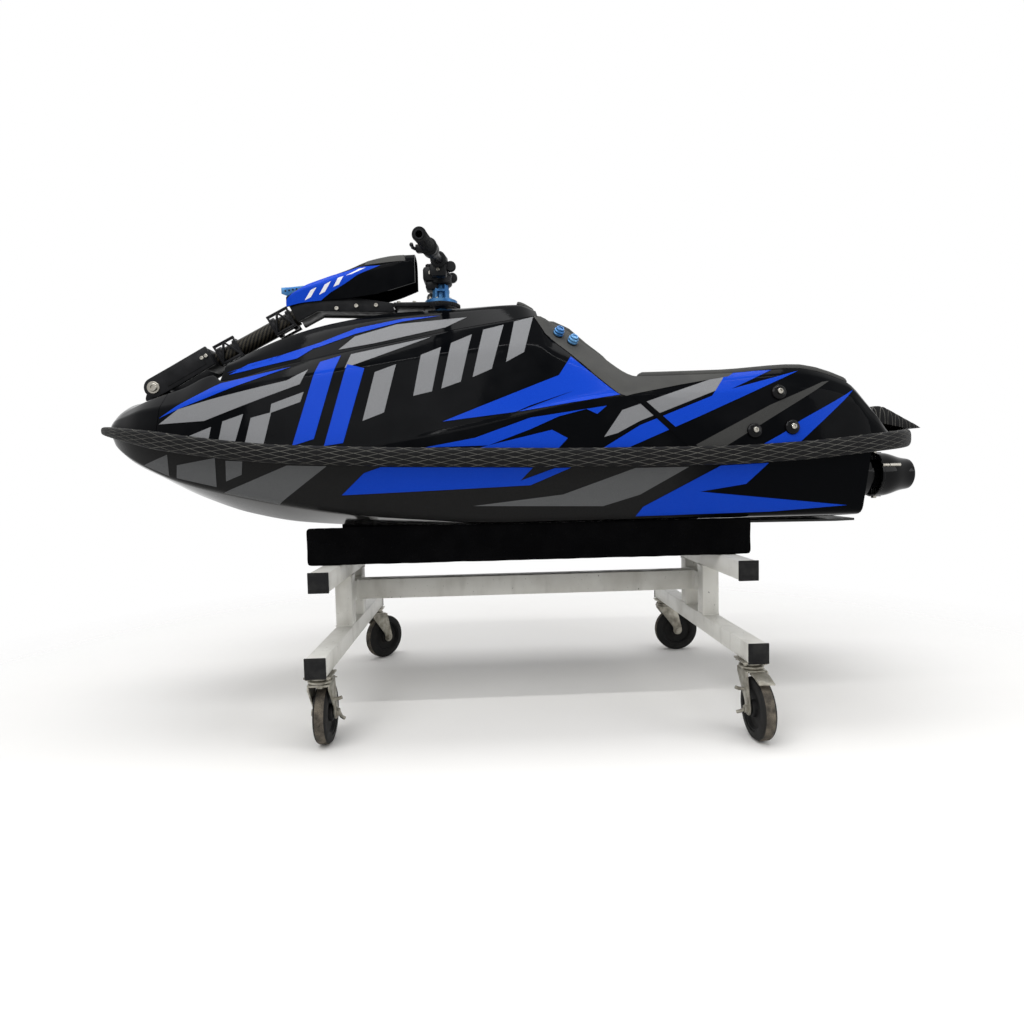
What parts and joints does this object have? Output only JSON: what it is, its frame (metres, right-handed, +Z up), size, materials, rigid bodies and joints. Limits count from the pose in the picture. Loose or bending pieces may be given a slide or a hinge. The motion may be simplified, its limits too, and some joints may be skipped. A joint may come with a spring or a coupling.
{
  "type": "stand-up personal watercraft on a wheeled workshop stand",
  "caption": "Small stand-up jet boat with a lifting handle pole, turning bars and a steered jet nozzle, on a wheeled steel stand with carpeted bunks",
  "frame": {"origin": "middle of the floor under the whole part, at floor level", "axes": "+X to the stern, +Y to the right-hand side of the craft seen from its stern looking forward, +Z up"},
  "size_m": [2.2177, 0.9272, 1.203],
  "materials": {
    "gelcoat": "gloss",
    "cover_gelcoat": "gloss",
    "quilted_rubber": "matte",
    "grey_foam": "matte",
    "black_alloy": "satin",
    "woven_tube": "gloss",
    "bright_steel": "satin",
    "engine_alloy": "satin",
    "black_jet": "gloss",
    "blue_anodised": "satin",
    "bar_metal": "satin",
    "grip_rubber": "matte",
    "control_plastic": "matte",
    "stand_paint": "satin",
    "cap_plastic": "matte",
    "bunk_carpet": "matte",
    "zinc_steel": "satin",
    "wheel_rubber": "matte"
  },
  "bodies": {
    "craft": {"hull": "gelcoat", "deck": "gelcoat", "bow_deck": "gelcoat", "hood": "gelcoat", "bumper": "quilted_rubber", "tail_pad": "quilted_rubber", "slope_pad": "grey_foam", "rail_pads": "grey_foam", "tray_mat": "quilted_rubber", "pole_bracket": "black_alloy", "pole_pin": "bright_steel", "engine": "engine_alloy", "pump_housing": "black_jet", "intake_grate": "bright_steel", "ride_plate": "engine_alloy", "primer_fittings": "blue_anodised", "foot_beams": "stand_paint", "arms": "stand_paint", "posts": "stand_paint", "spine": "stand_paint", "end_caps": "cap_plastic", "bunks": "bunk_carpet", "caster_plates": "zinc_steel"},
    "pole": {"pole_yoke": "black_alloy", "pole_arm": "black_alloy", "pole_tube": "woven_tube", "pole_trusses": "black_alloy", "pole_cover": "cover_gelcoat", "steering_plate": "black_alloy", "pole_blade": "blue_anodised"},
    "steering": {"steering_stem": "blue_anodised", "bar_clamp": "black_alloy", "handlebar": "bar_metal", "grips": "grip_rubber", "controls": "control_plastic"},
    "nozzle": {"steering_nozzle": "black_jet"},
    "impeller": {"impeller": "bright_steel"},
    "caster_1": {"fork_1": "zinc_steel"},
    "roller_1": {"wheel_1": "wheel_rubber"},
    "caster_2": {"fork_2": "zinc_steel"},
    "roller_2": {"wheel_2": "wheel_rubber"},
    "caster_3": {"fork_3": "zinc_steel"},
    "roller_3": {"wheel_3": "wheel_rubber"},
    "caster_4": {"fork_4": "zinc_steel"},
    "roller_4": {"wheel_4": "wheel_rubber"}
  },
  "joints": [
    {"name": "pole_lift", "type": "hinge", "parent": "craft", "child": "pole", "pos_m": [-0.958, 0, 0.855], "axis": [0, -1, 0], "range_deg": [0, 60]},
    {"name": "bar_turn", "type": "hinge", "parent": "pole", "child": "steering", "pos_m": [-0.20562, 0, 1.072], "axis": [0, 0, 1], "range_deg": [-35, 35]},
    {"name": "nozzle_turn", "type": "hinge", "parent": "craft", "child": "nozzle", "pos_m": [1.008, 0, 0.584], "axis": [0, 0, 1], "range_deg": [-20, 20]},
    {"name": "impeller_spin", "type": "hinge", "parent": "craft", "child": "impeller", "pos_m": [0.716, 0, 0.584], "axis": [1, 0, 0], "continuous": true},
    {"name": "swivel_1", "type": "hinge", "parent": "craft", "child": "caster_1", "pos_m": [-0.478, -0.365, 0.16], "axis": [0, 0, 1], "continuous": true},
    {"name": "roll_1", "type": "hinge", "parent": "caster_1", "child": "roller_1", "pos_m": [-0.478, -0.327, 0.07], "axis": [-1, 0, 0], "continuous": true},
    {"name": "swivel_2", "type": "hinge", "parent": "craft", "child": "caster_2", "pos_m": [0.502, -0.365, 0.16], "axis": [0, 0, 1], "continuous": true},
    {"name": "roll_2", "type": "hinge", "parent": "caster_2", "child": "roller_2", "pos_m": [0.502, -0.403, 0.07], "axis": [1, 0, 0], "continuous": true},
    {"name": "swivel_3", "type": "hinge", "parent": "craft", "child": "caster_3", "pos_m": [-0.478, 0.365, 0.16], "axis": [0, 0, 1], "continuous": true},
    {"name": "roll_3", "type": "hinge", "parent": "caster_3", "child": "roller_3", "pos_m": [-0.45357, 0.39411, 0.07], "axis": [-0.766, 0.6428, 0], "continuous": true},
    {"name": "swivel_4", "type": "hinge", "parent": "craft", "child": "caster_4", "pos_m": [0.502, 0.365, 0.16], "axis": [0, 0, 1], "continuous": true},
    {"name": "roll_4", "type": "hinge", "parent": "caster_4", "child": "roller_4", "pos_m": [0.54, 0.365, 0.07], "axis": [0, 1, 0], "continuous": true}
  ],
  "couplings": [
    {"joint": "nozzle_turn", "follows": "bar_turn", "ratio": -0.57143}
  ]
}
